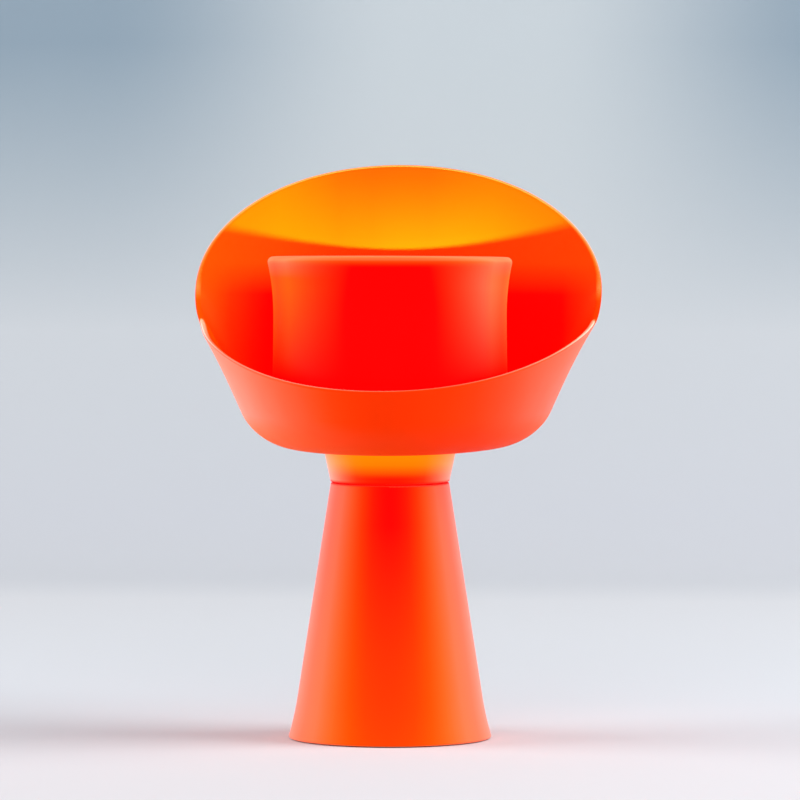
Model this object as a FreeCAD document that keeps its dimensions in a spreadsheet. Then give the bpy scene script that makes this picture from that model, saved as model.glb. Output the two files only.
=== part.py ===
import FreeCAD, Part
import math
import os
import re
import Sketcher
from FreeCAD import Placement, Rotation, Vector

# Driving sizes in millimetres: alias, value, what it measures
SIZES = [
    ("pad_height", 0.3, "how far the foot pad stands below the cone"),
    ("pad_radius", 30.0, "radius of the foot pad"),
    ("screw_circle", 22.0, "radius of the circle of cover screws"),
    ("cone_height", 89.5, "cone from its foot to its mouth"),
    ("cone_foot_radius", 35.7, "outer radius at the very foot"),
    ("flare_height", 14.5, "height of the flare at the foot"),
    ("flare_radius", 32.4, "outer radius where the flare begins"),
    ("flare_sag", 0.27, "how far the flare hollows in from a straight line"),
    ("cone_mouth_radius", 20.7, "outer radius at the mouth"),
    ("cone_wall", 2.5, "wall of the cone"),
    ("mouth_round", 0.5, "rounding of the cone's top edge"),
    ("foot_round", 0.6, "rounding of the cone's foot edge"),
    ("well_radius", 18.3, "bore of the mouth, above the deck"),
    ("deck_height", 60.0, "underside of the deck that carries the stem"),
    ("deck_thickness", 3.0, "thickness of the deck"),
    ("cover_recess", 0.8, "bottom cover above the cone's foot"),
    ("cover_thickness", 2.0, "thickness of the bottom cover"),
    ("ballast_height", 18.0, "height of the ballast weight"),
    ("ballast_slot", 17.4, "width of the slot for the terminal block and the inlet"),
    ("slot_start", 6.5, "distance from the axis to the start of that slot"),
    ("easy_clearance", 0.3, "clearance of a loose fit"),
    ("close_clearance", 0.05, "clearance of a close fit"),
    ("stem_radius", 5.0, "outer radius of the threaded stem"),
    ("stem_bore", 3.5, "bore radius of the stem"),
    ("nut_radius", 7.5, "corner radius of a stem nut"),
    ("nut_height", 4.0, "height of a stem nut"),
    ("stem_stand", 0.5, "how far the stem stands out below its lower nut"),
    ("washer_radius", 8.0, "outer radius of a stem washer"),
    ("washer_height", 1.0, "thickness of a stem washer"),
    ("nut_recess", 6.0, "depth of the recess for the lower nut in the ballast"),
    ("block_width", 16.0, "terminal block across its two ways"),
    ("block_depth", 5.0, "terminal block front to back"),
    ("block_height", 20.0, "terminal block, standing"),
    ("screw_pitch_up", 11.0, "distance between the screws of one way"),
    ("terminal_screw_radius", 1.5, "radius of a terminal screw"),
    ("lead_radius", 0.9, "outer radius of an insulated lead"),
    ("lead_spacing", 6.0, "distance between the two leads"),
    ("lead_back", 8.9, "distance of the leads behind the axis"),
    ("lead_entry", 5.0, "length of a lead inside the terminal block"),
    ("screw_sink", 1.5, "depth of a terminal screw in the block"),
    ("screw_stand", 0.6, "how far a terminal screw stands out"),
    ("screw_slot", 0.5, "width and depth of a terminal screw's slot"),
    ("cover_screw_radius", 1.4, "radius of a cover screw's shank"),
    ("cover_screw_head", 2.6, "radius of a cover screw's head"),
    ("cover_screw_length", 9.0, "length of a cover screw"),
    ("gland_height", 16.0, "height of the cable inlet above the ground"),
    ("gland_bore", 2.8, "bore radius of the cable inlet"),
    ("gland_barrel", 4.0, "outer radius of the inlet's barrel"),
    ("gland_flange", 5.4, "radius of the inlet's flange"),
    ("gland_flange_depth", 1.8, "thickness of the inlet's flange"),
    ("gland_seat", 31.4, "distance from the axis to the flat that the inlet sits on"),
    ("gland_length", 6.4, "length of the inlet's barrel inside its flange"),
    ("gland_nut_radius", 5.6, "corner radius of the inlet's nut"),
    ("gland_nut_depth", 2.2, "thickness of the inlet's nut"),
    ("gland_nut_seat", 28.1, "distance from the axis to the nut's outer face"),
    ("well_ledge", 1.3, "width of the ledge that carries the socket ring"),
    ("socket_height", 9.8, "height of the socket ring"),
    ("socket_eye", 14.5, "inner radius of the socket ring's ledge"),
    ("socket_ledge", 1.5, "thickness of the socket ring's ledge"),
    ("ring_wall", 1.6, "wall of the slip ring"),
    ("spigot_radius", 15.2, "outer radius of the neck's spigot"),
    ("spigot_wall", 1.5, "wall of the spigot"),
    ("spigot_length", 8.6, "length of the spigot below the seam"),
    ("running_clearance", 0.08, "radial clearance where parts turn or slide"),
    ("key_reach", 1.3, "how far a driving key stands out of the spigot"),
    ("key_width", 4.0, "width of a driving key of the neck"),
    ("key_depth", 2.0, "height of a driving key"),
    ("seam_gap", 0.4, "dark seam between cone and neck"),
    ("neck_height", 11.1, "neck from the seam to the bowl's floor"),
    ("neck_foot_radius", 20.8, "outer radius of the neck at the seam"),
    ("neck_top_radius", 23.1, "outer radius of the neck under the bowl"),
    ("neck_wall", 2.6, "wall of the neck"),
    ("neck_round", 0.5, "rounding of the neck's foot edge"),
    ("throat_radius", 19.2, "outer radius of the threaded throat in the bowl's floor"),
    ("bowl_wall", 2.0, "wall of the bowl"),
    ("bowl_floor", 2.2, "thickness of the bowl's floor"),
    ("bowl_corner", 11.9, "outer corner radius between floor and wall"),
    ("bowl_widest", 31.0, "distance of the bowl's widest line behind the axis"),
    ("level_low", 17.3, "height of the second section above the floor"),
    ("level_middle", 34.1, "height of the third section above the floor"),
    ("level_high", 51.9, "height of the fourth section above the floor"),
    ("level_top", 111.5, "height of the last section above the floor"),
    ("half_width_floor", 49.4, "half width of the bowl's wall at the floor"),
    ("half_width_low", 57.1, "half width at the second section"),
    ("half_width_middle", 65.3, "half width at the third section"),
    ("half_width_high", 75.8, "half width at the fourth section"),
    ("half_width_top", 86.0, "half width at the last section"),
    ("front_floor", 48.4, "wall in front of the axis at the floor"),
    ("front_low", 55.4, "wall in front of the axis at the second section"),
    ("front_middle", 61.3, "wall in front of the axis at the third section"),
    ("front_high", 65.6, "wall in front of the axis at the fourth section"),
    ("front_top", 76.0, "wall in front of the axis at the last section"),
    ("back_floor", 49.4, "wall behind the axis at the floor"),
    ("back_top", 53.8, "wall behind the axis at the last section"),
    ("rim_front", 124.7, "height of the rim in front"),
    ("rim_front_near", 127.0, "height of the rim near the front"),
    ("rim_front_side", 134.2, "height of the rim between front and side"),
    ("rim_side_low", 140.8, "height of the rim just before its widest place"),
    ("rim_side_high", 148.8, "height of the rim just behind its widest place"),
    ("rim_back_side", 164.9, "height of the rim between side and back"),
    ("rim_back_near", 190.8, "height of the rim near the back"),
    ("rim_back", 199.9, "height of the rim at the back"),
    ("cup_floor", 2.0, "thickness of the cup's foot plate"),
    ("cup_wall", 2.6, "wall of the cup"),
    ("cup_foot_radius", 42.4, "outer radius of the cup at its foot"),
    ("cup_foot_round", 17.7, "fillet between the cup's wall and its foot"),
    ("cup_waist_radius", 40.8, "outer radius of the cup at its waist"),
    ("cup_waist_height", 149.0, "height of the cup's waist"),
    ("cup_lip_radius", 44.3, "outer radius of the cup above its waist"),
    ("cup_lip_rise", 19.8, "height of the lip above the waist, on the axis"),
    ("cup_lip_wall", 6.2, "thickness of the cup's lip"),
    ("cup_lip_fall", 2.4, "degrees by which the lip falls to the back"),
    ("cup_lip_round", 1.9, "rounding of the lip"),
    ("lock_ring_radius", 22.8, "outer radius of the lock ring"),
    ("lock_ring_height", 4.0, "height of the lock ring"),
    ("lock_notch_depth", 2.0, "depth of a notch in the lock ring"),
    ("lock_notch", 4.0, "width of a notch for turning the lock ring"),
    ("holder_radius", 12.4, "outer radius of the lampholder"),
    ("holder_wall", 1.8, "wall of the lampholder"),
    ("holder_floor", 3.0, "floor of the lampholder's base"),
    ("holder_base_height", 11.0, "height of the lampholder's base"),
    ("holder_sleeve_height", 20.0, "height of the lampholder's sleeve"),
    ("core_height", 4.0, "thickness of the lampholder's insulating core"),
    ("shell_radius", 7.55, "outer radius of the screw shell"),
    ("shell_wall", 0.4, "wall of the screw shell"),
    ("shell_height", 17.0, "height of the screw shell"),
    ("contact_width", 4.0, "width of the centre contact"),
    ("contact_height", 1.6, "height of the centre contact"),
    ("bulb_length", 85.0, "bulb from its tip contact to its top"),
    ("bulb_radius", 12.5, "radius of the bulb's envelope"),
    ("bulb_cap_radius", 6.95, "radius of the bulb's screw cap"),
    ("bulb_cap_height", 17.5, "height of the screw cap"),
    ("bulb_tip_radius", 2.2, "radius of the tip contact"),
    ("bulb_tip_height", 1.0, "height of the tip contact"),
    ("insulator_height", 1.8, "height of the glass insulator above the tip"),
    ("insulator_radius", 5.4, "upper radius of the insulator"),
    ("collar_height", 12.0, "height of the bulb's plastic collar"),
    ("envelope_wall", 1.2, "wall of the opal envelope"),
    ("envelope_round", 9.0, "rounding of the envelope's top"),
    ("board_radius", 9.6, "radius of the light-emitting board"),
    ("board_height", 1.6, "thickness of the board"),
]

SCREW_COUNT = 3
KEY_COUNT = 3
NOTCH_COUNT = 4
HEXAGON_SIDES = 6
FULL_TURN = 360.0
TINY = 0.01
SECTION_POINTS = 32
ROW_STEPS = 4

# The two ways of the wiring: name and side of the middle
WAYS = (("live", -1), ("neutral", 1))

# Turns a piece's own upright axis to the back
BACKWARD = Rotation(Vector(1, 0, 0), -90)

# Each named rim height and its angle round the section, from the front (-90) to the back (90)
RIM_HEIGHTS = (
    (-90, "rim_front"),
    (-60, "rim_front_near"),
    (-30, "rim_front_side"),
    (-10, "rim_side_low"),
    (10, "rim_side_high"),
    (30, "rim_back_side"),
    (60, "rim_back_near"),
    (90, "rim_back"),
)

# Places that several pieces share, as expressions of the driving sizes
CONE_FOOT = "pad_height"
MOUTH = "(pad_height + cone_height)"
FLARE_TOP = "(pad_height + flare_height)"
SLOPE = "((flare_radius - cone_mouth_radius) / (cone_height - flare_height))"
COVER_LOW = "(pad_height + cover_recess)"
BALLAST_LOW = f"({COVER_LOW} + cover_thickness)"
BALLAST_TOP = f"({BALLAST_LOW} + ballast_height)"
DECK_TOP = "(deck_height + deck_thickness)"
WASHER_TOP = f"({DECK_TOP} + washer_height)"
NUT_TOP = f"({WASHER_TOP} + nut_height)"
HOLDER_LOW = f"({NUT_TOP} + easy_clearance)"
HOLDER_SEAT = f"({HOLDER_LOW} + holder_floor)"
HOLDER_JOIN = f"({HOLDER_LOW} + holder_base_height)"
HOLDER_TOP = f"({HOLDER_JOIN} + holder_sleeve_height)"
CORE_TOP = f"({HOLDER_JOIN} - close_clearance)"
CORE_LOW = f"({CORE_TOP} - core_height)"
CONTACT_TOP = f"({CORE_TOP} + contact_height)"
BULB_TIP = f"({CONTACT_TOP} + close_clearance)"
BULB_TOP = f"({BULB_TIP} + bulb_length)"
INSULATOR_LOW = f"({BULB_TIP} + bulb_tip_height)"
CAP_LOW = f"({INSULATOR_LOW} + insulator_height)"
CAP_TOP = f"({CAP_LOW} + bulb_cap_height)"
COLLAR_WIDE = f"({CAP_TOP} + collar_height / 2)"
COLLAR_TOP = f"({CAP_TOP} + collar_height)"
RECESS_TOP = f"({BALLAST_LOW} + nut_recess)"
SEAM = f"({MOUTH} + seam_gap)"
NECK_TOP = f"({SEAM} + neck_height)"
SPIGOT_END = f"({SEAM} - spigot_length)"
SOCKET_LOW = f"({SPIGOT_END} - socket_ledge - 2 * easy_clearance)"
RING_LOW = f"({SOCKET_LOW} + socket_ledge + easy_clearance)"
SOCKET_TOP = f"({SOCKET_LOW} + socket_height)"
RING_TOP = f"({SEAM} - easy_clearance)"
RING_BORE = "(spigot_radius + running_clearance)"
RING_RADIUS = f"({RING_BORE} + ring_wall)"
SOCKET_BORE = f"({RING_RADIUS} + running_clearance)"
SPIGOT_BORE = "(spigot_radius - spigot_wall)"
FLOOR_TOP = f"({NECK_TOP} + bowl_floor)"
CUP_FLOOR_TOP = f"({FLOOR_TOP} + cup_floor)"
LOCK_TOP = f"({CUP_FLOOR_TOP} + lock_ring_height)"
BLOCK_FRONT = "(slot_start + easy_clearance)"
BLOCK_BACK = f"({BLOCK_FRONT} + block_depth)"
BLOCK_TOP = f"({RECESS_TOP} + block_height)"
CUP_LIP = "(cup_waist_height + cup_lip_rise)"
THROAT_HOLE = "(throat_radius + close_clearance)"

os.makedirs("parts", exist_ok=True)
doc = FreeCAD.newDocument("table_lamp")
sheet = doc.addObject("Spreadsheet::Sheet", "Sizes")
ALIASES = {alias for alias, _, _ in SIZES}
nodes = {}


def fill_sheet():
    """Write every driving size into the sheet under its own alias."""
    for row, (alias, number, meaning) in enumerate(SIZES, start=1):
        sheet.set(f"A{row}", alias)
        sheet.set(f"B{row}", str(number))
        sheet.setAlias(f"B{row}", alias)
        sheet.set(f"C{row}", meaning)
    doc.recompute()


def bound(expression):
    """The expression with each size's name pointing at its cell."""

    def cell(match):
        word = match.group(0)
        return f"{sheet.Name}.{word}" if word in ALIASES else word

    return re.sub(r"[a-z][a-z_]*", cell, str(expression))


def value(expression):
    """What an expression of sizes comes to now, in millimetres."""
    return float(sheet.evalExpression(bound(expression)))


def bind(item, path, expression):
    """Tie one property to an expression of sizes."""
    item.setExpression(path, bound(expression))


def node(label, item):
    """Register a finished piece under its label."""
    item.Label = label
    nodes[label] = item
    return item


def origin_plane(body, role):
    """One of the body's own origin planes or axes."""
    return next(f for f in body.Origin.OriginFeatures if f.Role == role)


def turned(name, outline):
    """A body turned about the vertical axis from (radius, height) points.

    A third entry gives a point's incoming edge as an arc: the distance by which
    its middle stands off the straight line, to the left of the way it runs.
    """
    body = doc.addObject("PartDesign::Body", f"{name}_body")
    sketch = body.newObject("Sketcher::SketchObject", f"{name}_profile")
    sketch.AttachmentSupport = [(origin_plane(body, "XZ_Plane"), "")]
    sketch.MapMode = "FlatFace"
    spots = [Vector(value(p[0]), value(p[1]), 0) for p in outline]
    count = len(outline)
    for index in range(count):
        start = spots[index]
        end = spots[(index + 1) % count]
        bulge = outline[(index + 1) % count][2:]
        if bulge:
            along = end - start
            side = Vector(-along.y, along.x, 0).normalize()
            middle = (start + end) * 0.5 + side * value(bulge[0])
            first, last = (end, start) if value(bulge[0]) > 0 else (start, end)
            sketch.addGeometry(Part.Arc(first, middle, last), False)
        else:
            sketch.addGeometry(Part.LineSegment(start, end), False)
    for index in range(count):
        radius, height = outline[index][:2]
        edge = sketch.Geometry[index]
        before = sketch.Geometry[index - 1]
        begins = point_at(edge, spots[index])
        ends = point_at(before, spots[index])
        joint = Sketcher.Constraint("Coincident", (index - 1) % count, ends, index, begins)
        sketch.addConstraint(joint)
        for kind, expression in (("DistanceX", radius), ("DistanceY", height)):
            place = Sketcher.Constraint(kind, -1, 1, index, begins, value(expression))
            bind(sketch, f"Constraints[{sketch.addConstraint(place)}]", expression)
    for index in range(count):
        bulge = outline[(index + 1) % count][2:]
        if bulge:
            width = spots[(index + 1) % count] - spots[index]
            rise = abs(value(bulge[0]))
            radius = width.Length ** 2 / (8 * rise) + rise / 2
            chord = chord_expression(outline[index], outline[(index + 1) % count])
            bend = Sketcher.Constraint("Radius", index, radius)
            formula = f"{chord} / (8 * abs({bulge[0]})) + abs({bulge[0]}) / 2"
            bind(sketch, f"Constraints[{sketch.addConstraint(bend)}]", formula)
    revolution = body.newObject("PartDesign::Revolution", f"{name}_turned")
    revolution.Profile = sketch
    revolution.ReferenceAxis = (sketch, ["V_Axis"])
    revolution.Angle = FULL_TURN
    sketch.Visibility = False
    doc.recompute()
    return body


def chord_expression(first, second):
    """The squared distance between two outline points, as an expression."""
    return (f"((({second[0]}) - ({first[0]})) ^ 2 + (({second[1]}) - ({first[1]})) ^ 2)")


def point_at(edge, spot):
    """Which end of a sketch edge lies at a spot: 1 its start, 2 its end."""
    return 1 if edge.StartPoint.distanceToPoint(spot) < edge.EndPoint.distanceToPoint(spot) else 2


def rounded(body, radius, *rings):
    """Round the circular edges of a turned body that lie at (radius, height)."""
    base = body.Tip
    names = []
    for ring_radius, ring_height in rings:
        found = ring_edge(base.Shape, value(ring_radius), value(ring_height))
        names.append(found)
    fillet = body.newObject("PartDesign::Fillet", f"{body.Name}_round{len(body.Group)}")
    fillet.Base = (base, names)
    bind(fillet, "Radius", radius)
    base.Visibility = False
    doc.recompute()
    return body


def ring_edge(shape, radius, height):
    """The name of the circular edge about the axis with this radius and height."""
    best = None
    for number, edge in enumerate(shape.Edges, start=1):
        if not isinstance(edge.Curve, Part.Circle):
            continue
        miss = abs(edge.Curve.Radius - radius) + abs(edge.Curve.Center.z - height)
        if best is None or miss < best[0]:
            best = (miss, f"Edge{number}")
    return best[1]


def rod(name, radius, height, low, across="0", back="0", tilt=None):
    """A cylinder whose foot centre is at (across, back, low)."""
    item = doc.addObject("Part::Cylinder", name)
    if tilt:
        item.Placement = Placement(Vector(), tilt)
    bind(item, "Radius", radius)
    bind(item, "Height", height)
    place(item, across, back, low)
    return item


def place(item, across, back, low):
    """Tie a piece's position to three expressions."""
    bind(item, "Placement.Base.x", across)
    bind(item, "Placement.Base.y", back)
    bind(item, "Placement.Base.z", low)


def block(name, width, depth, height, front, low, across="0"):
    """A box centred on a distance across, from its front face and its low face."""
    item = doc.addObject("Part::Box", name)
    bind(item, "Length", width)
    bind(item, "Width", depth)
    bind(item, "Height", height)
    place(item, f"({across}) - ({width}) / 2", front, low)
    return item


def hexagon(name, radius, height, low, back="0", tilt=None):
    """A six-sided prism."""
    item = doc.addObject("Part::Prism", name)
    if tilt:
        item.Placement = Placement(Vector(), tilt)
    item.Polygon = HEXAGON_SIDES
    bind(item, "Circumradius", radius)
    bind(item, "Height", height)
    place(item, "0", back, low)
    return item


def cut(name, base, *tools):
    """The base without its tools, one cut after another."""
    for number, tool in enumerate(tools, start=1):
        item = doc.addObject("Part::Cut", f"{name}_cut{number}")
        item.Base = base
        item.Tool = tool
        base = item
    return base


def fuse(name, *items):
    """Several solids joined into one."""
    item = doc.addObject("Part::MultiFuse", f"{name}_fused")
    item.Shapes = list(items)
    return item


def together(name, items):
    """Several separate solids kept as one piece."""
    item = doc.addObject("Part::Compound", f"{name}_group")
    item.Links = list(items)
    return item


def around(circle, count):
    """Places spread evenly on a circle, as (across, back) expressions."""
    turns = [index * FULL_TURN / count for index in range(count)]
    return [(f"({circle}) * sin({turn})", f"-({circle}) * cos({turn})") for turn in turns]


def turned_boxes(name, count, width, inner, outer, low, high):
    """Boxes that point outward, spread evenly about the axis."""
    boxes = []
    for index in range(count):
        turn = index * FULL_TURN / count
        box = doc.addObject("Part::Box", f"{name}{index + 1}")
        box.Placement = Placement(Vector(), Rotation(Vector(0, 0, 1), turn))
        bind(box, "Length", width)
        bind(box, "Width", f"({outer}) - ({inner})")
        bind(box, "Height", f"({high}) - ({low})")
        across = f"-({width}) / 2"
        place(box, f"({across}) * cos({turn}) - ({inner}) * sin({turn})",
              f"({across}) * sin({turn}) + ({inner}) * cos({turn})", low)
        boxes.append(box)
    return boxes


def inner_radius(height):
    """The cone's inner radius at a height below the deck."""
    return f"(cone_mouth_radius + ({MOUTH} - ({height})) * {SLOPE} - cone_wall)"


def make_cone():
    """Outer cone with a flared foot, a deck for the stem and a bored mouth."""
    body = turned("base_cone", [
        (inner_radius(CONE_FOOT), CONE_FOOT),
        ("cone_foot_radius", CONE_FOOT),
        ("flare_radius", FLARE_TOP, "flare_sag"),
        ("cone_mouth_radius", MOUTH),
        ("well_radius", MOUTH),
        ("well_radius", SOCKET_LOW),
        ("well_radius - well_ledge", SOCKET_LOW),
        ("well_radius - well_ledge", DECK_TOP),
        ("stem_radius + easy_clearance", DECK_TOP),
        ("stem_radius + easy_clearance", "deck_height"),
        (inner_radius("deck_height"), "deck_height"),
    ])
    rounded(body, "mouth_round", ("cone_mouth_radius", MOUTH))
    rounded(body, "foot_round", ("cone_foot_radius", CONE_FOOT))
    seat = rod("inlet_seat", "gland_flange + easy_clearance", "cone_foot_radius",
               "gland_height", back="gland_seat", tilt=BACKWARD)
    hole = rod("inlet_hole", "gland_barrel + close_clearance", "cone_foot_radius",
               "gland_height", tilt=BACKWARD)
    passes = [
        rod(f"deck_pass_{way}", "lead_radius + easy_clearance", "deck_thickness * 2",
            "deck_height - deck_thickness / 2", f"{side} * lead_spacing / 2", "lead_back")
        for way, side in WAYS
    ]
    node("base_cone", cut("base_cone", body, seat, hole, *passes))


def make_ballast():
    """Cast weight that fills the foot, with a slot for the terminal block."""
    nut_room = "(nut_radius + 2 * easy_clearance)"
    body = turned("ballast", [
        ("stem_radius + easy_clearance", RECESS_TOP),
        (nut_room, RECESS_TOP),
        (nut_room, BALLAST_LOW),
        (f"{inner_radius(BALLAST_LOW)} - easy_clearance", BALLAST_LOW),
        (f"{inner_radius(BALLAST_TOP)} - easy_clearance", BALLAST_TOP),
        ("stem_radius + easy_clearance", BALLAST_TOP),
    ])
    slot = block("ballast_slot_box", "ballast_slot", "cone_foot_radius", "ballast_height",
                 "slot_start", RECESS_TOP)
    bores = [
        rod(f"ballast_bore{number}", "cover_screw_radius + close_clearance",
            "cover_screw_length + easy_clearance", COVER_LOW, across, back)
        for number, (across, back) in enumerate(around("screw_circle", SCREW_COUNT), start=1)
    ]
    node("ballast_weight", cut("ballast", body, slot, *bores))


def countersunk(name, across, back, clearance):
    """A countersunk screw, point up, made larger by a clearance."""
    head = doc.addObject("Part::Cone", f"{name}_head")
    bind(head, "Radius1", f"cover_screw_head + {clearance}")
    bind(head, "Radius2", f"cover_screw_radius + {clearance}")
    bind(head, "Height", "cover_thickness / 2")
    place(head, across, back, COVER_LOW)
    shank = rod(f"{name}_shank", f"cover_screw_radius + {clearance}", "cover_screw_length",
                COVER_LOW, across, back)
    return fuse(name, head, shank)


def make_cover():
    """Bottom cover, its screws and the foot pad that hides them."""
    plate = rod("cover_plate", f"{inner_radius(BALLAST_LOW)} - easy_clearance",
                "cover_thickness", COVER_LOW)
    spots = around("screw_circle", SCREW_COUNT)
    sinks = [countersunk(f"cover_sink{number}", *spot, "easy_clearance")
             for number, spot in enumerate(spots, start=1)]
    nut_room = rod("cover_centre", "nut_radius", "cover_thickness", COVER_LOW)
    node("bottom_cover", cut("bottom_cover", plate, *sinks, nut_room))
    screws = [countersunk(f"cover_screw{number}", *spot, "0")
              for number, spot in enumerate(spots, start=1)]
    node("cover_screws", together("cover_screws", screws))
    node("foot_pad", rod("pad_disc", "pad_radius", COVER_LOW, "0"))


def make_stem():
    """Threaded tube that ties ballast, cone and lampholder, its nuts and washers."""
    nut_low = f"({RECESS_TOP} - washer_height - nut_height)"
    stem_low = f"({nut_low} - stem_stand)"
    stem = rod("stem_rod", "stem_radius", f"{HOLDER_SEAT} - {stem_low}", stem_low)
    node("stem_tube", cut("stem_tube", stem, rod("stem_hole", "stem_bore", "cone_height", "0")))
    for label, low in (("stem_nut_lower", nut_low), ("stem_nut_upper", WASHER_TOP)):
        blank = hexagon(f"{label}_blank", "nut_radius", "nut_height", low)
        node(label, cut(label, blank, rod(f"{label}_hole", "stem_radius", "cone_height", "0")))
    washers = []
    for label, low in (("washer_lower", f"{RECESS_TOP} - washer_height"),
                       ("washer_upper", DECK_TOP)):
        disc = rod(f"{label}_disc", "washer_radius", "washer_height", low)
        hole = rod(f"{label}_hole", "stem_radius + close_clearance", "cone_height", "0")
        washers.append(cut(label, disc, hole))
    node("stem_washers", together("stem_washers", washers))


def make_inlet():
    """Cable inlet on a flat at the back of the cone, and its nut inside."""
    flange = rod("inlet_flange", "gland_flange", "gland_flange_depth", "gland_height",
                 back="gland_seat", tilt=BACKWARD)
    barrel = rod("inlet_barrel", "gland_barrel", "gland_length + gland_flange_depth",
                 "gland_height", back="gland_seat - gland_length", tilt=BACKWARD)
    bore = rod("inlet_bore", "gland_bore", "cone_foot_radius", "gland_height", tilt=BACKWARD)
    node("cable_gland", cut("cable_gland", fuse("cable_gland", flange, barrel), bore))
    blank = hexagon("inlet_nut_blank", "gland_nut_radius", "gland_nut_depth", "gland_height",
                    "gland_nut_seat - gland_nut_depth", BACKWARD)
    hole = rod("inlet_nut_hole", "gland_barrel", "cone_foot_radius", "gland_height",
               tilt=BACKWARD)
    node("gland_nut", cut("gland_nut", blank, hole))


def make_terminals():
    """Two-way terminal block, its four screws and the two leads up to the holder."""
    body = block("terminal_body", "block_width", "block_depth", "block_height",
                 BLOCK_FRONT, RECESS_TOP)
    holes = []
    screws = []
    for way, side in WAYS:
        across = f"{side} * lead_spacing / 2"
        lead_low = f"({BLOCK_TOP} - lead_entry)"
        holes.append(rod(f"{way}_entry", "lead_radius + close_clearance", "block_height",
                         lead_low, across, "lead_back"))
        lead = rod(f"{way}_wire", "lead_radius", f"{CORE_LOW} - {lead_low}", lead_low,
                   across, "lead_back")
        node(f"lead_{way}", lead)
        for row, lift in (("low", "-1"), ("high", "1")):
            name = f"{way}_{row}"
            height = f"{RECESS_TOP} + block_height / 2 + {lift} * screw_pitch_up / 2"
            deep = f"{BLOCK_BACK} - screw_sink"
            holes.append(rod(f"{name}_seat", "terminal_screw_radius + close_clearance",
                             "block_depth", height, across, deep, BACKWARD))
            shank = rod(f"{name}_shank", "terminal_screw_radius", "screw_sink + screw_stand",
                        height, across, deep, BACKWARD)
            slot = block(f"{name}_slot", "terminal_screw_radius * 3", "block_depth",
                         "screw_slot", f"{BLOCK_BACK} + screw_stand - screw_slot",
                         f"{height} - screw_slot / 2", across)
            screws.append(cut(f"{name}_screw", shank, slot))
    node("terminal_block", cut("terminal_block", body, *holes))
    node("terminal_screws", together("terminal_screws", screws))


def make_holder():
    """Lampholder: base, sleeve, insulating core and the two contacts."""
    inside = "(holder_radius - holder_wall)"
    base = turned("holder_base", [
        ("stem_radius + close_clearance", HOLDER_LOW),
        ("holder_radius", HOLDER_LOW),
        ("holder_radius", HOLDER_JOIN),
        (inside, HOLDER_JOIN),
        (inside, HOLDER_SEAT),
        ("stem_radius + close_clearance", HOLDER_SEAT),
    ])
    passes = [
        rod(f"holder_pass_{way}", "lead_radius + easy_clearance / 2", "holder_floor * 2",
            f"{HOLDER_LOW} - holder_floor / 2", f"{side} * lead_spacing / 2", "lead_back")
        for way, side in WAYS
    ]
    node("holder_base", cut("holder_base", base, *passes))
    tube = rod("sleeve_tube", "holder_radius", "holder_sleeve_height", HOLDER_JOIN)
    hole = rod("sleeve_hole", inside, "holder_sleeve_height", HOLDER_JOIN)
    node("holder_sleeve", cut("holder_sleeve", tube, hole))
    node("holder_core", rod("holder_disc", f"{inside} - close_clearance", "core_height",
                            CORE_LOW))
    shell = rod("shell_tube", "shell_radius", "shell_height", CORE_TOP)
    room = rod("shell_room", "shell_radius - shell_wall", "shell_height", CORE_TOP)
    node("screw_shell", cut("screw_shell", shell, room))
    node("centre_contact", block("contact_tab", "contact_width", "contact_width",
                                 "contact_height", "-contact_width / 2", CORE_TOP))


def make_bulb():
    """Slim bulb: tip, insulator, screw cap, collar, board and opal envelope."""
    node("bulb_tip", rod("tip_disc", "bulb_tip_radius", "bulb_tip_height", BULB_TIP))
    insulator = doc.addObject("Part::Cone", "insulator_cone")
    bind(insulator, "Radius1", "bulb_tip_radius")
    bind(insulator, "Radius2", "insulator_radius")
    bind(insulator, "Height", "insulator_height")
    place(insulator, "0", "0", INSULATOR_LOW)
    node("bulb_insulator", insulator)
    node("bulb_cap", rod("cap_tube", "bulb_cap_radius", "bulb_cap_height", CAP_LOW))
    node("bulb_collar", turned("bulb_collar", [
        ("0", CAP_TOP),
        ("bulb_cap_radius", CAP_TOP),
        ("bulb_radius", COLLAR_WIDE),
        ("bulb_radius", COLLAR_TOP),
        ("0", COLLAR_TOP),
    ]))
    envelope_inside = "(bulb_radius - envelope_wall)"
    body = turned("bulb_envelope", [
        (envelope_inside, COLLAR_TOP),
        ("bulb_radius", COLLAR_TOP),
        ("bulb_radius", BULB_TOP),
        ("0", BULB_TOP),
        ("0", f"{BULB_TOP} - envelope_wall"),
        (envelope_inside, f"{BULB_TOP} - envelope_wall"),
    ])
    rounded(body, "envelope_round", ("bulb_radius", BULB_TOP))
    rounded(body, "envelope_round - envelope_wall",
            (envelope_inside, f"{BULB_TOP} - envelope_wall"))
    node("bulb_envelope", body)
    node("light_board", rod("board_disc", "board_radius", "board_height", COLLAR_TOP))


def make_rings():
    """Socket ring fixed in the cone's mouth and the slip ring that turns in it."""
    node("socket_ring", turned("socket_ring", [
        ("socket_eye", SOCKET_LOW),
        ("well_radius - close_clearance", SOCKET_LOW),
        ("well_radius - close_clearance", SOCKET_TOP),
        (SOCKET_BORE, SOCKET_TOP),
        (SOCKET_BORE, f"({SOCKET_LOW} + socket_ledge)"),
        ("socket_eye", f"({SOCKET_LOW} + socket_ledge)"),
    ]))
    outside = rod("slip_tube", RING_RADIUS, f"{RING_TOP} - {RING_LOW}", RING_LOW)
    inside = rod("slip_hole", RING_BORE, f"{RING_TOP} - {RING_LOW}", RING_LOW)
    notches = turned_boxes("slip_notch", KEY_COUNT, "key_width + 2 * easy_clearance",
                           SPIGOT_BORE, "well_radius",
                           f"({SEAM} - key_depth - easy_clearance)", SEAM)
    node("slip_ring", cut("slip_ring", outside, inside, *notches))


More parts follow.
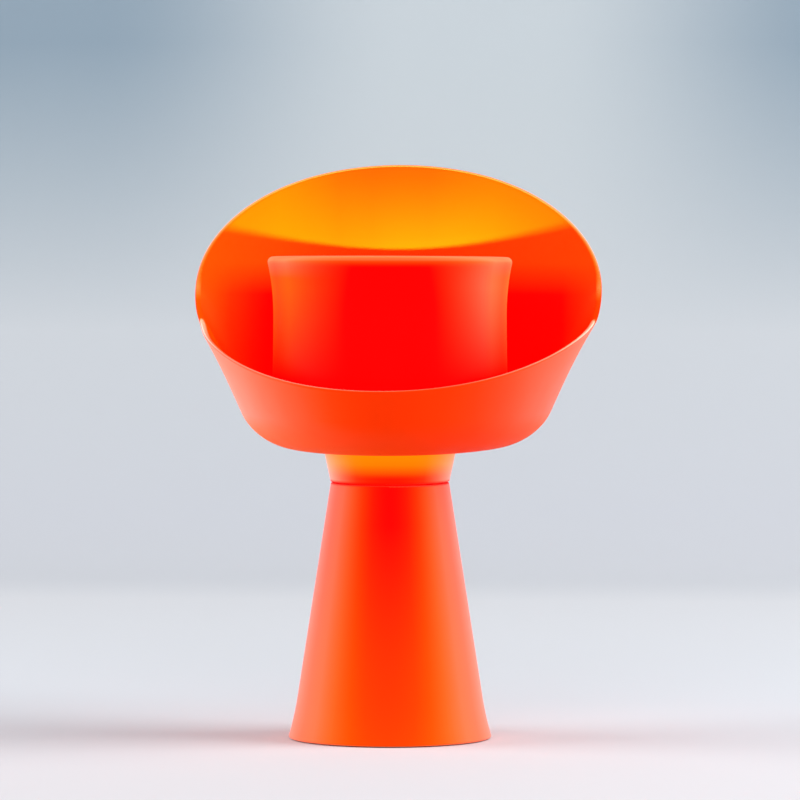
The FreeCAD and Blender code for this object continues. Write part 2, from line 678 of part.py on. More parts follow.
def make_neck():
    """Translucent neck: spigot with driving keys, cone and threaded throat."""
    throat_bore = "(throat_radius - neck_wall)"
    body = turned("neck", [
        (SPIGOT_BORE, SPIGOT_END),
        ("spigot_radius", SPIGOT_END),
        ("spigot_radius", SEAM),
        ("neck_foot_radius", SEAM),
        ("neck_top_radius", NECK_TOP),
        ("throat_radius", NECK_TOP),
        ("throat_radius", LOCK_TOP),
        (throat_bore, LOCK_TOP),
        (throat_bore, f"({SEAM} + neck_height / 2)"),
        (SPIGOT_BORE, SEAM),
    ])
    rounded(body, "neck_round", ("neck_foot_radius", SEAM))
    keys = turned_boxes("neck_key", KEY_COUNT, "key_width", "spigot_radius - spigot_wall / 2",
                        "spigot_radius + key_reach", f"({SEAM} - key_depth)", SEAM)
    node("neck_collar", fuse("neck_collar", body, *keys))


def rounded_edges(name, base, radius, wanted):
    """A fillet on every edge that a test picks out."""
    doc.recompute()
    item = doc.addObject("Part::Fillet", name)
    item.Base = base
    item.Edges = [(number, radius, radius)
                  for number, edge in enumerate(base.Shape.Edges, start=1) if wanted(edge)]
    doc.recompute()
    return item


def through(pairs):
    """A smooth function through (place, height) pairs, flat at both ends."""
    flat = Vector(1, 0, 0)
    curve = Part.BSplineCurve()
    curve.interpolate(Points=[Vector(place, height, 0) for place, height in pairs],
                      Parameters=[place for place, _ in pairs],
                      InitialTangent=flat, FinalTangent=flat, Scale=False)
    return lambda place: curve.value(place).y


def bowl_profiles():
    """How the bowl's half width and its reach to the front and back grow with height."""
    levels = [("floor", "0"), ("low", "level_low"), ("middle", "level_middle"),
              ("high", "level_high"), ("top", "level_top")]
    heights = [value(level) for _, level in levels]
    profiles = []
    for kind in ("half_width", "front"):
        curve = Part.BSplineCurve()
        curve.interpolate(Points=[Vector(height, value(f"{kind}_{word}"), 0)
                                  for height, (word, _) in zip(heights, levels)],
                          Parameters=heights)
        profiles.append(lambda height, curve=curve: curve.value(height).y)
    lean = (value("back_top") - value("back_floor")) / value("level_top")
    profiles.append(lambda height: value("back_floor") + lean * height)
    return profiles


def skinned(rows):
    """A smooth face through closed curves that share their knots."""
    shares = [index / (len(rows) - 1) for index in range(len(rows))]
    columns = []
    for poles in zip(*[row.getPoles() for row in rows]):
        column = Part.BSplineCurve()
        column.interpolate(Points=list(poles), Parameters=shares)
        columns.append(column)
    surface = Part.BSplineSurface()
    surface.buildFromPolesMultsKnots(
        [column.getPoles() for column in columns], rows[0].getMultiplicities(),
        columns[0].getMultiplicities(), rows[0].getKnots(), columns[0].getKnots(),
        False, False, rows[0].Degree, columns[0].Degree)
    return surface.toShape()


def make_bowl():
    """Open bowl: two half ellipses that meet at its widest line, under a curved rim."""
    half_width, front, back = bowl_profiles()
    widest = value("bowl_widest")
    base = value(NECK_TOP)
    wall = value("bowl_wall")
    floor = value("bowl_floor")
    corner = value("bowl_corner")
    rim_height = through([(angle, value(alias) - base) for angle, alias in RIM_HEIGHTS])

    def spot(turn, height, inset):
        along = math.sin(turn)
        reach = back(height) - widest if along > 0 else front(height) + widest
        return Vector((half_width(height) - inset) * math.cos(turn),
                      widest + along * (reach - inset), base + height)

    turns = [2 * math.pi * index / SECTION_POINTS - math.pi / 2
             for index in range(SECTION_POINTS)]
    rims = [rim_height(math.degrees(math.asin(math.sin(turn)))) for turn in turns]
    shares = [index / SECTION_POINTS for index in range(SECTION_POINTS + 1)]

    def row(fixed, share, inset):
        """A closed curve at a fixed height plus a share of the rim's height."""
        spots = [spot(turn, fixed + share * top, inset) for turn, top in zip(turns, rims)]
        level = Vector(2 * math.pi * (half_width(fixed + share * rims[0]) - inset), 0, 0)
        curve = Part.BSplineCurve()
        curve.interpolate(Points=spots + spots[:1], Parameters=shares,
                          InitialTangent=level, FinalTangent=level, Scale=False)
        return curve

    def sine(quarters):
        return math.sin(quarters * math.pi / 2)

    def cosine(quarters):
        return math.cos(quarters * math.pi / 2)

    steps = [index / ROW_STEPS for index in range(ROW_STEPS + 1)]
    half = wall / 2
    inner_corner = corner - wall
    inner_low = floor + inner_corner
    low = [row(corner * (1 - cosine(step)), 0, corner * (1 - sine(step))) for step in steps]
    outside = [row(corner - step * (corner + half), step, 0) for step in steps]
    edge = [row(half * (sine(2 * step) - 1), 1, half * (1 - cosine(2 * step)))
            for step in steps]
    inside = [row(step * inner_low - half * (1 - step), 1 - step, wall) for step in steps]
    under = [row(floor + inner_corner * (1 - sine(step)), 0,
                 wall + inner_corner * (1 - cosine(step))) for step in steps]
    outside[0] = low[-1]
    edge[0] = outside[-1]
    inside[0] = edge[-1]
    under[0] = inside[-1]
    faces = [Part.Face(Part.Wire([row_curve.toShape()])) for row_curve in (low[0], under[-1])]
    faces += [skinned(band) for band in (low, outside, edge, inside, under)]
    skin = Part.Shell(faces)
    skin.sewShape()
    form = doc.addObject("Part::Feature", "bowl_form")
    form.Shape = Part.makeSolid(skin)
    hole = rod("throat_hole", THROAT_HOLE, "bowl_floor * 4", f"{NECK_TOP} - bowl_floor")
    node("bowl", cut("bowl_shell", form, hole))


def make_cup():
    """Round cup with a waist and a thick lip that falls a little to the back."""
    foot_sag = "(cup_foot_radius - cup_waist_radius) / 4"
    lip_sag = "(cup_lip_radius - cup_waist_radius) / 4"
    lip_top = f"({CUP_LIP} + cup_lip_radius * tan(cup_lip_fall) + cup_floor)"
    lip_inside = "(cup_lip_radius - cup_lip_wall)"
    waist_inside = "(cup_waist_radius - cup_wall)"
    body = turned("cup", [
        (THROAT_HOLE, FLOOR_TOP),
        ("cup_foot_radius", FLOOR_TOP),
        ("cup_waist_radius", "cup_waist_height", foot_sag),
        ("cup_lip_radius", lip_top, lip_sag),
        (lip_inside, lip_top),
        (waist_inside, "cup_waist_height", f"-({lip_inside} - {waist_inside}) / 4"),
        ("cup_foot_radius - cup_wall", CUP_FLOOR_TOP, f"-{foot_sag}"),
        (THROAT_HOLE, CUP_FLOOR_TOP),
    ])
    rounded(body, "cup_foot_round", ("cup_foot_radius", FLOOR_TOP))
    rounded(body, "cup_foot_round - cup_floor / 2",
            ("cup_foot_radius - cup_wall", CUP_FLOOR_TOP))
    tilt = Rotation(Vector(1, 0, 0), -value("cup_lip_fall"))
    above = rod("above_lip", "cup_lip_radius * 2", "level_low", CUP_LIP, tilt=tilt)
    open_cup = cut("cup", body, above)
    normal = tilt.multVec(Vector(0, 0, 1))
    on_axis = Vector(0, 0, value(CUP_LIP))

    def on_lip(edge):
        middle = edge.valueAt((edge.FirstParameter + edge.LastParameter) / 2)
        return abs((middle - on_axis).dot(normal)) < TINY

    node("cup", rounded_edges("cup_lip", open_cup, value("cup_lip_round"), on_lip))


def make_lock_ring():
    """Ring nut with notches that clamps cup and bowl onto the neck's throat."""
    disc = rod("lock_disc", "lock_ring_radius", "lock_ring_height", CUP_FLOOR_TOP)
    hole = rod("lock_hole", THROAT_HOLE, "lock_ring_height", CUP_FLOOR_TOP)
    notches = turned_boxes("lock_notch", NOTCH_COUNT, "lock_notch",
                           "lock_ring_radius - lock_notch_depth", "lock_ring_radius * 2",
                           CUP_FLOOR_TOP, LOCK_TOP)
    node("lock_ring", cut("lock_ring", disc, hole, *notches))


def write_pieces():
    """Check the whole document, then write one STEP file for each piece."""
    doc.recompute()
    faults = [item.Name for item in doc.Objects
              if {"Invalid", "Error"} & set(item.State)]
    faults += [label for label, item in nodes.items()
               if item.Shape.isNull() or not item.Shape.isValid() or not item.Shape.Solids]
    if faults:
        raise RuntimeError(f"faulty objects: {faults}")
    for label, item in nodes.items():
        item.Shape.exportStep(f"parts/{label}.step")
        print(label, len(item.Shape.Solids), round(item.Shape.Volume))


fill_sheet()
make_cone()
make_ballast()
make_cover()
make_stem()
make_inlet()
make_terminals()
make_holder()
make_bulb()
make_rings()
make_neck()
make_bowl()
make_cup()
make_lock_ring()
write_pieces()
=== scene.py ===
"""Looks of the mushroom table lamp: finishes, the lit bulb, floor, lights and camera."""

import math

import bpy
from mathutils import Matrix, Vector


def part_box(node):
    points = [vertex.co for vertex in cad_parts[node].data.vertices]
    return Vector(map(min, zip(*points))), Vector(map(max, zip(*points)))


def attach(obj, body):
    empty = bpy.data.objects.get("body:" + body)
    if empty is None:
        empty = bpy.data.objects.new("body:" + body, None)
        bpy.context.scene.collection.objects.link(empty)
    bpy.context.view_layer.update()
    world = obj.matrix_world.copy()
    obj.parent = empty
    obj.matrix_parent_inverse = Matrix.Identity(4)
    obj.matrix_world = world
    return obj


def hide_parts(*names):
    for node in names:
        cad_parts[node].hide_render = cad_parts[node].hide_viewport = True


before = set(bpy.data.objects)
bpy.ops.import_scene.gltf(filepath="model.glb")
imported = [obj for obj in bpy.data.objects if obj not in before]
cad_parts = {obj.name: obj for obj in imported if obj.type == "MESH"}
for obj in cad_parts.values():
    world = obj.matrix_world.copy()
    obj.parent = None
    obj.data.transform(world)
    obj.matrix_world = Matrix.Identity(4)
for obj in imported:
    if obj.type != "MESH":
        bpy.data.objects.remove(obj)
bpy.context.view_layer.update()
MM = 0.001

# The photograph's view: a long lens a little above the bowl, a few degrees to the right
AXIS_HEIGHT = 118.7 * MM
VIEW_DISTANCE = 2500 * MM
VIEW_HEIGHT = 250 * MM
VIEW_TURN = math.radians(4.3)
PIXEL = 0.35 * MM
IMAGE_WIDTH = 800
SENSOR_WIDTH = 36.0
AXIS_OFFSET = 10 * PIXEL

# The compact light in the rounded end of the bulb
LIGHT_HEIGHT = 156 * MM
LIGHT_ACROSS = 4 * MM
LIGHT_RADIUS = 2.5 * MM
LIGHT_POWER = 1.45

# The even light that the room throws back
ROOM_LEVEL = 0.38

# Degrees by which the cup's lip falls to the back
LIP_FALL = 2.4

# The soft-touch coat: roughness range, grain size in mm and the shares of a face's normal, down
# from the level, between which it counts as facing the floor
SOFT_ROUGHNESS = (0.46, 0.54)
SOFT_GRAIN = 0.4
FLOOR_FACING = (-0.35, -0.9)

# The painted sheen's colour by the turn of the surface: yellow head-on, near white at the edge
PAINTED_SHEEN_TINT = [(0.1, "#FFF000"), (0.2, "#FFF468"), (0.35, "#FFF6B0"), (0.6, "#FFF6D0"), (1.0, "#FFF8F0")]

# Size in mm over which a finish's roughness wanders
PATCH = 12


def linear(hex_colour):
    """An sRGB hex colour as linear red, green, blue and alpha."""
    parts = [int(hex_colour[i:i + 2], 16) / 255 for i in (1, 3, 5)]
    parts = [p / 12.92 if p <= 0.04045 else ((p + 0.055) / 1.055) ** 2.4 for p in parts]
    return (*parts, 1.0)


def add_node(tree, kind, links=None, **settings):
    """A shader node with its settings, its socket values and its incoming links."""
    made = tree.nodes.new(kind)
    sockets = settings.pop("sockets", {})
    for name, value in settings.items():
        setattr(made, name, value)
    for name, value in sockets.items():
        made.inputs[name].default_value = value
    for name, source in (links or {}).items():
        tree.links.new(source, made.inputs[name])
    return made


def new_material(name):
    """An empty node material and its tree."""
    material = bpy.data.materials.new(name)
    material.use_nodes = True
    material.node_tree.nodes.clear()
    return material, material.node_tree


def finish(tree, shader):
    """Send a shader to the material's surface."""
    add_node(tree, "ShaderNodeOutputMaterial", {"Surface": shader.outputs[0]})


def fine_grain(tree, grain_mm, depth):
    """A faint bump of an even grain, sized in millimetres."""
    place = add_node(tree, "ShaderNodeTexCoord")
    noise = add_node(tree, "ShaderNodeTexNoise", {"Vector": place.outputs["Object"]},
                     sockets={"Scale": 1 / (grain_mm * MM), "Detail": 2.0})
    return add_node(tree, "ShaderNodeBump", {"Height": noise.outputs["Fac"]},
                    sockets={"Strength": depth, "Distance": 0.02 * MM})


def uneven(tree, patch_mm, low, high):
    """A value that wanders slowly over the surface, for roughness."""
    place = add_node(tree, "ShaderNodeTexCoord")
    noise = add_node(tree, "ShaderNodeTexNoise", {"Vector": place.outputs["Object"]},
                     sockets={"Scale": 1 / (patch_mm * MM), "Detail": 3.0})
    return add_node(tree, "ShaderNodeMapRange", {"Value": noise.outputs["Fac"]},
                    sockets={"From Min": 0.3, "From Max": 0.7, "To Min": low, "To Max": high})


def moulded(name, colour, roughness, grain_mm=0.4, depth=0.12, **extra):
    """Moulded plastic: even colour, a fine grain and a roughness that wanders a little."""
    material, tree = new_material(name)
    spread = 0.04
    rough = uneven(tree, PATCH, roughness - spread, roughness + spread)
    bump = fine_grain(tree, grain_mm, depth)
    shader = add_node(tree, "ShaderNodeBsdfPrincipled",
                      {"Roughness": rough.outputs["Result"], "Normal": bump.outputs["Normal"]},
                      sockets={"Base Color": linear(colour), **extra})
    finish(tree, shader)
    return material


def ramp(tree, value, stops):
    """A colour from a 0 to 1 value, by (position, hex colour or grey level) pairs."""
    made = add_node(tree, "ShaderNodeValToRGB", {"Fac": value})
    marks = made.color_ramp.elements
    marks[0].position, marks[1].position = stops[0][0], stops[-1][0]
    for where, _ in stops[1:-1]:
        marks.new(where)
    for mark, (_, paint) in zip(marks, stops):
        mark.color = linear(paint) if isinstance(paint, str) else (paint, paint, paint, 1.0)
    return made.outputs["Color"]


def along(tree, axis, low, high, fall=0.0):
    """How far a spot lies between two places on an axis in mm, from 0 to 1.

    With a fall in degrees, heights are measured from a plane that falls to the back.
    """
    place = add_node(tree, "ShaderNodeTexCoord")
    slope = math.tan(math.radians(fall))
    direction = {"X": (1, 0, 0), "Y": (0, 1, 0), "Z": (0, slope, 1)}[axis]
    level = add_node(tree, "ShaderNodeVectorMath", {0: place.outputs["Object"]},
                     operation="DOT_PRODUCT", sockets={1: direction})
    share = add_node(tree, "ShaderNodeMapRange", {"Value": level.outputs["Value"]},
                     sockets={"From Min": low * MM, "From Max": high * MM})
    return share.outputs["Result"]


def placed_ramp(tree, axis, stops, fall=0.0):
    """A colour that changes along an axis, from (place in mm, paint) pairs."""
    low, high = stops[0][0], stops[-1][0]
    return ramp(tree, along(tree, axis, low, high, fall),
                [((place - low) / (high - low), paint) for place, paint in stops])


def mixed(tree, share, first, second):
    """One colour blended into another by a share; either may be a hex colour."""
    links, sockets = {"Fac": share}, {}
    for name, colour in (("Color1", first), ("Color2", second)):
        if isinstance(colour, str):
            sockets[name] = linear(colour)
        else:
            links[name] = colour
    return add_node(tree, "ShaderNodeMixRGB", links, sockets=sockets).outputs["Color"]


def product(tree, first, second):
    """Two shares multiplied."""
    return add_node(tree, "ShaderNodeMath", {0: first, 1: second},
                    operation="MULTIPLY").outputs[0]


def hollow_side(tree):
    """One on the faces that look towards the lamp's axis, zero on those that look away.

    The measure is the inward part of a face's normal times its distance from the axis, and the
    share is full from 10 mm on.
    """
    place = add_node(tree, "ShaderNodeTexCoord")
    level = add_node(tree, "ShaderNodeVectorMath", {0: place.outputs["Object"]},
                     operation="MULTIPLY", sockets={1: (1, 1, 0)})
    outward = add_node(tree, "ShaderNodeVectorMath",
                       {0: level.outputs[0], 1: place.outputs["Normal"]}, operation="DOT_PRODUCT")
    share = add_node(tree, "ShaderNodeMapRange", {"Value": outward.outputs["Value"]},
                     sockets={"From Min": 0.0, "From Max": -10 * MM})
    return share.outputs["Result"]


def upright(tree, low, high):
    """How far a face has turned between two upward shares of its normal, 0 to 1."""
    place = add_node(tree, "ShaderNodeTexCoord")
    split = add_node(tree, "ShaderNodeSeparateXYZ", {"Vector": place.outputs["Normal"]})
    share = add_node(tree, "ShaderNodeMapRange", {"Value": split.outputs["Z"]},
                     sockets={"From Min": low, "From Max": high})
    return share.outputs["Result"]


def hollow_light_and_shade(tree, hollow):
    """The inside's colour with painted light and shade: by height above, by place across below,
    with painted side light that makes it warmer to the sides.
    """
    painted_side_light = placed_ramp(tree, "X", hollow["across"])
    upper = mixed(tree, painted_side_light, placed_ramp(tree, "Z", hollow["upper"]), hollow["painted_side_light"])
    lower = placed_ramp(tree, "X", hollow["lower"])
    return mixed(tree, along(tree, "Z", *hollow["change"]), lower, upper)


def sheened_soft_touch(name, stops, sheen_amount, tint, glow=None, strength=0.0, fall=0.0, fade=None, side_light_share=None,
            bounce=None, hollow=None):
    """Soft-touch plastic, dyed through, with a painted sheen where the surface turns away.

    The sheen is a pale colour mixed in: none seen head-on, most at the edge. Its amount and its
    colour follow the turn of the surface. It can fade in with height, and a painted side light
    thins it across the piece. Below a bright edge it can take the painted colour that its
    surroundings bounce on it. A hollow piece has other colours inside, with painted light and
    shade, where its sheen is thin, less sheen on faces turned to the floor, and a painted
    highlight along its rim. The colour by height can hold painted shade, and a glow is painted
    light.
    """
    material, tree = new_material(name)
    turn = add_node(tree, "ShaderNodeLayerWeight", sockets={"Blend": 0.5}).outputs["Facing"]
    colour = placed_ramp(tree, "Z", stops)
    share = ramp(tree, turn, sheen_amount)
    pale = ramp(tree, turn, tint)
    if fade:
        share = product(tree, share, along(tree, "Z", *fade))
    # Painted side light: the sheen thins across the piece where the side lights reach it less
    if side_light_share:
        share = product(tree, share, placed_ramp(tree, "X", side_light_share))
    if bounce:
        pale = mixed(tree, along(tree, "Z", *bounce["change"]),
                     placed_ramp(tree, "X", bounce["across"]), pale)
    if hollow:
        inner = hollow_side(tree)
        colour = mixed(tree, inner, colour, hollow_light_and_shade(tree, hollow))
        pale = mixed(tree, inner, pale, hollow["inside_sheen"])
        below = upright(tree, *FLOOR_FACING)
        pale = mixed(tree, below, pale, hollow["floor_bounce"])
        for where, left in ((inner, hollow["thin"]), (below, hollow["under"])):
            kept = add_node(tree, "ShaderNodeMapRange", {"Value": where},
                            sockets={"To Min": 1.0, "To Max": left})
            share = product(tree, share, kept.outputs["Result"])
        for turned_up, heights in hollow["rim"]:
            line = product(tree, upright(tree, *turned_up), placed_ramp(tree, "Z", heights))
            share = add_node(tree, "ShaderNodeMath", {0: share, 1: line}, operation="ADD",
                             use_clamp=True).outputs[0]
            pale = mixed(tree, line, pale, hollow["rim_highlight"])
    rough = uneven(tree, PATCH, *SOFT_ROUGHNESS)
    bump = fine_grain(tree, SOFT_GRAIN, 0.1)
    inputs = {"Base Color": colour, "Roughness": rough.outputs["Result"],
              "Normal": bump.outputs["Normal"]}
    sockets = {"Specular IOR Level": 0.02}
    if glow:
        inputs["Emission Color"] = placed_ramp(tree, "Z", glow, fall)
        sockets["Emission Strength"] = strength
    body = add_node(tree, "ShaderNodeBsdfPrincipled", inputs, sockets=sockets)
    # The painted sheen: a pale diffuse colour mixed in by the turn of the surface
    painted_sheen = add_node(tree, "ShaderNodeBsdfDiffuse",
                      {"Color": pale, "Normal": bump.outputs["Normal"]})
    mix = add_node(tree, "ShaderNodeMixShader", {"Fac": share})
    tree.links.new(body.outputs[0], mix.inputs[1])
    tree.links.new(painted_sheen.outputs[0], mix.inputs[2])
    finish(tree, mix)
    return material


def metal(name, colour, roughness):
    """Bare metal with fine turning marks about the upright axis."""
    mark_spacing, mark_depth = 1.2 * MM, 0.02 * MM
    material, tree = new_material(name)
    place = add_node(tree, "ShaderNodeTexCoord")
    rings = add_node(tree, "ShaderNodeTexWave", {"Vector": place.outputs["Object"]},
                     bands_direction="Z", sockets={"Scale": 1 / mark_spacing, "Distortion": 0.4})
    bump = add_node(tree, "ShaderNodeBump", {"Height": rings.outputs["Fac"]},
                    sockets={"Strength": 0.15, "Distance": mark_depth})
    shader = add_node(tree, "ShaderNodeBsdfPrincipled", {"Normal": bump.outputs["Normal"]},
                      sockets={"Base Color": linear(colour), "Metallic": 1.0,
                               "Roughness": roughness})
    finish(tree, shader)
    return material


def base_shell():
    """Cone: orange-red, with painted shade that deepens it to pure red under the glowing neck."""
    return sheened_soft_touch("orange_soft_touch_abs_cone", [
        (0, "#FF3E00"), (30, "#FF3100"), (60, "#FF1800"), (76, "#FF0000"), (90, "#FA0000")],
        [(0.0, 0.0), (0.04, 0.01), (0.2, 0.08), (0.36, 0.13), (0.53, 0.14), (0.66, 0.18),
         (1.0, 0.28)], PAINTED_SHEEN_TINT, fade=(90, 89.2))


def bowl_shell():
    """Bowl: the same soft-touch plastic, an even orange-red outside, with painted shade that makes
    its hollow deep red.

    The bulb washes the inside's upper part with yellow light. Painted side light makes the wall
    warmer where it comes round to the sides, most of all on the left, and a painted highlight
    runs along its rim.
    """
    hollow = {
        # The wall's colour by height, darker to the top as painted fall-off of the bulb's light;
        # the painted side light's colour, and how much of that lies where across
        "upper": [(150, "#FF3600"), (166, "#FF3900"), (184, "#FF3300"), (200, "#FF2C00")],
        "painted_side_light": "#FF6800",
        "across": [(-80, 0.6), (-43, 0.34), (-33, 0.19), (-22, 0.05), (-10, 0.0),
                   (10, 0.0), (33, 0.11), (60, 0.16), (80, 0.22)],
        # The painted shade across the deep part, pure red in the middle, and the heights between
        # which it gives way to the wall's
        "lower": [(-72, "#FF5800"), (-66, "#FF4E00"), (-60, "#FF3600"), (-52, "#FF1600"),
                  (-47, "#FF0000"), (58, "#FF0000"), (65, "#FF2A00"), (72, "#FF4000")],
        "change": (154, 165),
        # The rim's pale line, a painted highlight: its faces by the upward share of their normal,
        # and its strength by height. Lower down the wall itself leans back, so only its steepest
        # faces are rim.
        "rim": [((0.3, 0.6), [(152, 0.0), (157, 0.65), (165, 0.6), (172, 0.36), (200, 0.32)]),
                ((0.6, 0.8), [(120, 0.0), (135, 0.2), (142, 0.7), (153, 0.7), (157, 0.0)])],
        "rim_highlight": "#FFF0E4",
        # The painted sheen's colour inside and on faces turned to the floor, and how much of it is
        # left there
        "inside_sheen": "#FFD800",
        "thin": 0.4,
        "floor_bounce": "#FFE468",
        "under": 0.35,
    }
    return sheened_soft_touch("orange_soft_touch_abs_bowl", [(100, "#FF3200"), (200, "#FF3600")],
                   [(0.0, 0.0), (0.1, 0.008), (0.2, 0.02), (0.33, 0.05), (0.46, 0.085),
                    (0.6, 0.145), (0.8, 0.25), (1.0, 0.37)], PAINTED_SHEEN_TINT,
                   side_light_share=[(-60, 1.0), (-20, 0.95), (0, 0.6), (20, 0.2), (32, 0.2), (42, 0.36),
                        (50, 0.52), (80, 0.78)],
                   hollow=hollow)


def cup_shell():
    """Cup: deeper red, with a painted glow of the bulb's light through its plastic, most at its
    lip.
    """
    return sheened_soft_touch("red_soft_touch_polycarbonate", [(100, "#E00000"), (170, "#E00000")],
                   [(0.0, 0.0), (0.08, 0.0), (0.22, 0.05), (0.5, 0.16), (0.7, 0.12), (1.0, 0.2)],
                   [(0.0, "#FFD800"), (0.25, "#FFDC70"), (0.5, "#FFE8A8"), (1.0, "#FFE8B4")],
                   glow=[(100, "#FF0000"), (164.8, "#FF0000"), (165.4, "#FF1900"),
                         (166.2, "#FF4000"), (166.9, "#FF5E0E"), (167.4, "#FF8641"),
                         (168.8, "#FF8F4C")],
                   strength=0.6, fall=LIP_FALL, fade=(127, 159),
                   # Painted reflected light: below the lip the sheen takes colours that change
                   # across the cup
                   bounce={"change": (162, 168),
                           "across": [(-44, "#FFB808"), (-30, "#FFC410"), (20, "#FFD428"),
                                      (34, "#FFE8A0"), (44, "#FFE040")]})


def glowing_neck():
    """Frosted orange plastic, with a painted glow as if lit from above: brightest under the bowl,
    painted dark at the seam.
    """
    return sheened_soft_touch("frosted_orange_polycarbonate", [(90, "#D00800"), (102, "#FF2800")],
                   [(0.0, 0.0), (0.2, 0.03), (0.36, 0.12), (0.6, 0.28), (1.0, 0.5)], PAINTED_SHEEN_TINT,
                   fade=(90.3, 91.3),
                   glow=[(88, "#A00000"), (92.2, "#B00400"), (93, "#D02600"), (94.4, "#EE5600"),
                         (95.8, "#F87000"), (97.2, "#FF8400"), (102, "#FF9600")],
                   strength=0.9)


def lit_ring():
    """Red acetal of the bearing rings, with a painted glow in the seam beside the neck."""
    return sheened_soft_touch("red_acetal_lit_through", [(60, "#B00000"), (102, "#E00000")],
                   [(0.0, 0.0), (1.0, 0.1)], PAINTED_SHEEN_TINT,
                   glow=[(84, "#600000"), (90, "#FF0800")], strength=0.7)


def opal_bulb():
    """Opal glass of a lit bulb, clear to the light that is set inside it."""
    material, tree = new_material("opal_glass_lit")
    path = add_node(tree, "ShaderNodeLightPath")
    glow = add_node(tree, "ShaderNodeBsdfPrincipled",
                    sockets={"Base Color": linear("#FFF4E4"), "Roughness": 0.3,
                             "Emission Color": linear("#FFE0B0"), "Emission Strength": 1.5})
    clear = add_node(tree, "ShaderNodeBsdfTransparent")
    mix = add_node(tree, "ShaderNodeMixShader", {"Fac": path.outputs["Is Shadow Ray"]})
    tree.links.new(glow.outputs[0], mix.inputs[1])
    tree.links.new(clear.outputs[0], mix.inputs[2])
    finish(tree, mix)
    return material


def dress(material, *nodes):
    """Give CAD nodes one material."""
    for node in nodes:
        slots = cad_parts[node].data.materials
        slots.clear()
        slots.append(material)


def lathe(name, outline, centre=(0, 0, 0), axis=(0, 0, 1), steps=96):
    """A piece spun about an axis from its outline.

    The outline's (radius, distance along the axis) points are in millimetres, and the first
    and last lie on the axis or at the same place.
    """
    axis = Vector(axis)
    across = Vector((1, 0, 0))
    spots = [Vector(centre) + (across * radius + axis * place) * MM for radius, place in outline]
    bpy.ops.object.select_all(action="DESELECT")
    bpy.ops.mesh.primitive_plane_add(size=MM, location=spots[0])
    piece = bpy.context.object
    piece.name = name
    piece.data.name = name
    bpy.ops.object.mode_set(mode="EDIT")
    bpy.ops.mesh.select_all(action="SELECT")
    bpy.ops.mesh.merge(type="CENTER")
    for before, spot in zip(spots, spots[1:]):
        bpy.ops.mesh.extrude_region_move(TRANSFORM_OT_translate={"value": spot - before})
    bpy.ops.mesh.select_all(action="SELECT")
    bpy.ops.mesh.spin(steps=steps, angle=2 * math.pi, center=Vector(centre), axis=axis)
    bpy.ops.mesh.select_all(action="SELECT")
    bpy.ops.mesh.remove_doubles(threshold=0.002 * MM)
    bpy.ops.mesh.normals_make_consistent(inside=False)
    bpy.ops.object.mode_set(mode="OBJECT")
    bpy.ops.object.transform_apply(location=True, rotation=True, scale=True)
    bpy.ops.object.shade_smooth_by_angle(angle=math.radians(35))
    return piece


def stands_for(piece, node, body, material):
    """Hand a finished piece to the frame in a CAD node's place."""
    piece.data.materials.clear()
    piece.data.materials.append(material)
    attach(piece, body)
    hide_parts(node)


def thread(crest, root, low, high, pitch):
    """An outline's rounded thread ridges, from low to high."""
    count = int((high - low) / pitch)
    margin = (high - low - count * pitch) / 2
    middle = (crest + root) / 2
    swing = (crest - root) / 2
    steps = 8
    spots = []
    for index in range(count * steps + 1):
        share = index / steps
        spots.append((middle - swing * math.cos(2 * math.pi * share),
                      low + margin + share * pitch))
    return spots


def cable_inlet(material):
    """Cable inlet: a chamfered flange, a bead round its mouth and a threaded barrel."""
    low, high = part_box("cable_gland")
    height = (low.z + high.z) / 2 / MM
    inner, outer = low.y / MM, high.y / MM
    flange = (high.x - low.x) / 2 / MM
    barrel, bore, thick = 4.0, 2.8, 1.8
    ridge, pitch = 0.35, 1.0
    seat = outer - thick
    face = outer - 0.25
    outline = [(bore, inner), (barrel - 0.3, inner)]
    outline += thread(barrel, barrel - ridge, inner + 0.2, seat - 0.4, pitch)
    outline += [(barrel, seat), (flange, seat), (flange, outer - 0.7),
                (flange - 0.2, outer - 0.35), (flange - 0.7, face),
                (bore + 1.0, face), (bore + 0.8, outer - 0.08), (bore + 0.5, outer),
                (bore + 0.2, outer - 0.08), (bore, outer - 0.3), (bore, inner)]
    piece = lathe("cable_inlet_turned", outline, (0, 0, height * MM), (0, 1, 0))
    stands_for(piece, "cable_gland", "base", material)


def rubber_foot(material):
    """Round rubber foot with ring grooves under it, so that it grips."""
    low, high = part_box("foot_pad")
    radius = (high.x - low.x) / 2 / MM
    thick = high.z / MM
    groove, land, depth = 1.2, 3.4, 0.5
    slant = 0.15
    outline = [(0, 0)]
    place = land
    while place + groove + land < radius:
        outline += [(place, 0), (place + slant, depth), (place + groove - slant, depth),
                    (place + groove, 0)]
        place += groove + land
    outline += [(radius - 0.5, 0), (radius - slant, slant), (radius, 0.5), (radius, thick),
                (0, thick)]
    piece = lathe("rubber_foot_grooved", outline)
    stands_for(piece, "foot_pad", "base", material)


def threaded_cap(material):
    """Screw cap of the bulb with its rolled thread."""
    low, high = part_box("bulb_cap")
    radius = (high.x - low.x) / 2 / MM
    foot, top = low.z / MM, high.z / MM
    ridge, pitch = 0.55, 2.82
    outline = [(0, foot), (radius - 1.2, foot), (radius - 0.6, foot + 0.4)]
    outline += thread(radius, radius - ridge, foot + 0.8, top - 3.0, pitch)
    outline += [(radius - ridge, top - 2.4), (radius - 0.3, top - 1.6), (radius, top - 1.2),
                (radius, top), (0, top)]
    piece = lathe("bulb_cap_threaded", outline)
    stands_for(piece, "bulb_cap", "base", material)


